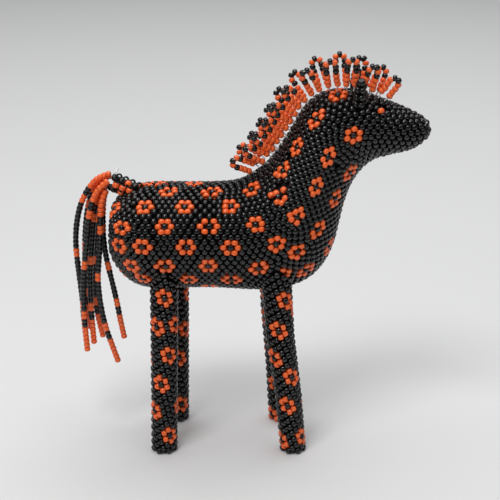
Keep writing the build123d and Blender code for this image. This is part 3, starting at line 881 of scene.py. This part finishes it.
def strand_orange(count):
    """The strand's colours, its two long black runs stretched or cut to suit the number of beads."""
    head = STRAND_COLOURS[:22]
    tail = STRAND_COLOURS[22:]
    extra = count - len(STRAND_COLOURS)
    if extra >= 0:
        colours = head + "B" * extra + tail
    else:
        cut = -extra
        colours = head[:10] + head[10 + (cut + 1) // 2:] + tail[:8] + tail[8 + cut // 2:]
    return np.array([c == "O" for c in colours[:count]])


STRING_SCALE = (0.93, 0.9)
for number, route in enumerate(TAIL_ROUTES, start=1):
    line = smooth_line(route)
    long = float(np.linalg.norm(np.diff(line, axis=0), axis=1).sum())
    pitch = long / round(long / STRING_PITCH)
    places, runs = along_line(line, pitch / 2, pitch, 0)
    chunks = bead_chunks(places, runs, (0.1, 1, 0.1), strand_orange(len(places)), STRING_SCALE)
    chunks.append(thread_chunk(line))
    strand = mesh_piece(f"tail_strand_{number}_beads", chunks, "tail", [f"tail_strand_{number}"])


# ---------------------------------------------------------------- mane and forelock
LOOP_HALF_WIDTH = 1.25
LOOP_GAP = 0.8
LOOP_ROOT_OFFSET = 1.7
LOOP_STRING_R = 0.88
MANE_TILT = 17.0
FORELOCK_TILT = 9.0
RIGHT_MANE_LOOPS = [
    (-3.5, 84.6, -66, 8.1), (0.3, 87.2, -61, 8.6), (3.2, 90.9, -62, 9.1), (5.6, 94.7, -60, 8.9),
    (7.9, 98.7, -59, 9.3), (10.2, 102.5, -48, 9.1), (13.6, 105.6, -28, 9.3), (18.0, 107.3, -9, 9.5),
]
LEFT_MANE_LOOPS = [
    (-1.6, 86.0, -63, 8.3), (1.8, 89.1, -61, 8.8), (4.4, 92.8, -61, 9.0), (6.8, 96.7, -60, 9.1),
    (9.0, 100.7, -53, 9.2), (11.8, 104.2, -38, 9.2), (15.7, 106.7, -19, 9.4), (20.4, 107.5, -3, 9.5),
]
FORELOCK_LOOPS = [
    (-1, 22.7, 107.3, 2.0, 9.4),
    (1, 24.9, 106.9, 7.0, 9.2),
    (-1, 27.2, 106.2, 14.0, 8.8),
    (1, 29.3, 105.6, 22.0, 8.3),
    (-1, 31.6, 104.9, 34.0, 7.5),
]


def loop_line(side, root_x, root_z, lean, length, tilt):
    """The line of one hairpin of beads, and the bare thread that ties it to the net."""
    forward = np.array([cos(radians(lean)), 0, -sin(radians(lean))])
    upright = np.array([sin(radians(lean)), 0, cos(radians(lean))])
    outward = upright * cos(radians(tilt)) + np.array([0, side, 0]) * sin(radians(tilt))
    root = np.array([root_x, side * LOOP_ROOT_OFFSET, root_z])
    turn = length - LOOP_HALF_WIDTH - LOOP_STRING_R
    flat = [(-LOOP_HALF_WIDTH, y) for y in np.linspace(LOOP_GAP, turn, 12)]
    flat += [
        (-LOOP_HALF_WIDTH * cos(a), turn + LOOP_HALF_WIDTH * sin(a)) for a in np.linspace(0, pi, 14)[1:-1]
    ]
    flat += [(LOOP_HALF_WIDTH, y) for y in np.linspace(turn, LOOP_GAP, 12)]
    line = np.array([root + forward * x + outward * y for x, y in flat])
    ties = [(-LOOP_HALF_WIDTH * 0.7, -0.7)] + [flat[0]], [flat[-1]] + [(LOOP_HALF_WIDTH * 0.7, -0.7)]
    ends = [np.array([root + forward * x + outward * y for x, y in tie]) for tie in ties]
    return line, ends, outward


def loop_orange(count):
    """A loop's colours: orange at its roots, black beyond, one orange bead each side of its tip."""
    from_end = np.minimum(np.arange(count), count - 1 - np.arange(count))
    from_tip = (count - 1) / 2 - from_end
    return (from_end < 3) | ((from_tip >= 1) & (from_tip < 2))


def loop_chunks(*loop):
    """All the chunks of one loop."""
    line, ends, outward = loop_line(*loop)
    long = np.linalg.norm(np.diff(line, axis=0), axis=1).sum()
    count = int(long / STRING_PITCH + 0.2)
    pitch = long / count
    places, runs = along_line(line, pitch / 2, pitch, 0)
    places = places[:count] + chance.normal(0, 0.05, (min(count, len(places)), 3))
    runs = runs[:count]
    side = np.array([0, 1.0, 0.2])
    chunks = bead_chunks(places, runs, side, loop_orange(len(places)), STRING_SCALE)
    return chunks + [thread_chunk(line)] + [thread_chunk(np.linspace(end[0], end[1], 3), 0.2) for end in ends]


for word, side, loops in (("right", -1, RIGHT_MANE_LOOPS), ("left", 1, LEFT_MANE_LOOPS)):
    for number, (x, z, lean, length) in enumerate(loops, start=1):
        node = f"{word}_mane_loop_{number}"
        mesh_piece(f"{node}_beads", loop_chunks(side, x, z, lean, length, MANE_TILT), f"mane_{word}", [node])
for number, (side, x, z, lean, length) in enumerate(FORELOCK_LOOPS, start=1):
    node = f"forelock_loop_{number}"
    mesh_piece(f"{node}_beads", loop_chunks(side, x, z, lean, length, FORELOCK_TILT), "forelock", [node])


# ---------------------------------------------------------------- CAD nodes that keep their own shape
for name, node in nodes.items():
    if name.endswith("_stuffing"):
        finish = dark_cloth
    elif name.endswith("_wire"):
        finish = steel_wire
    elif name.endswith("_binding"):
        finish = binding_cotton
    elif name.endswith("_thread"):
        finish = white_thread
    else:
        continue
    node.data.materials.clear()
    node.data.materials.append(finish)


# ---------------------------------------------------------------- floor, light and camera
floor_mesh = bpy.data.meshes.new("floor")
floor_mesh.from_pydata([(-4, -2, 0), (4, -2, 0), (4, 5, 0), (-4, 5, 0)], [], [(0, 1, 2, 3)])
floor = bpy.data.objects.new("floor", floor_mesh)
bpy.context.scene.collection.objects.link(floor)
floor_mesh.materials.append(plain_material("pale_floor", (0.78, 0.78, 0.78), (0.76, 0.76, 0.76), 3, 0.9))

world = bpy.data.worlds.new("world")
world.use_nodes = True
world.node_tree.nodes["Background"].inputs["Color"].default_value = (0.86, 0.88, 0.9, 1)
world.node_tree.nodes["Background"].inputs["Strength"].default_value = 0.2
bpy.context.scene.world = world


def soft_light(name, place, aim, size, power):
    """A large soft lamp pointed at a place."""
    lamp = bpy.data.lights.new(name, "AREA")
    lamp.shape = "RECTANGLE"
    lamp.size, lamp.size_y = size
    lamp.energy = power
    holder = bpy.data.objects.new(name, lamp)
    holder.location = place
    holder.rotation_euler = (Vector(aim) - Vector(place)).to_track_quat("-Z", "Y").to_euler()
    bpy.context.scene.collection.objects.link(holder)


soft_light("overhead", (0.05, 0.3, 1.0), (0, 0.15, 0.0), (1.3, 1.1), 8.5)
soft_light("key", (-0.16, -0.3, 0.62), (0, 0, 0.05), (0.26, 0.2), 2.0)

AIM = Vector((-0.00495, 0, 0.0596))
DISTANCE = 0.35
ELEVATION = radians(20)
camera_data = bpy.data.cameras.new("camera")
camera_data.sensor_width = 36
camera_data.lens = 86.94
camera_data.clip_start = 0.01
camera = bpy.data.objects.new("camera", camera_data)
camera.location = AIM + DISTANCE * Vector((0, -cos(ELEVATION), sin(ELEVATION)))
camera.rotation_euler = (AIM - camera.location).to_track_quat("-Z", "Y").to_euler()
bpy.context.scene.collection.objects.link(camera)
bpy.context.scene.camera = camera
bpy.context.scene.view_settings.view_transform = "Standard"
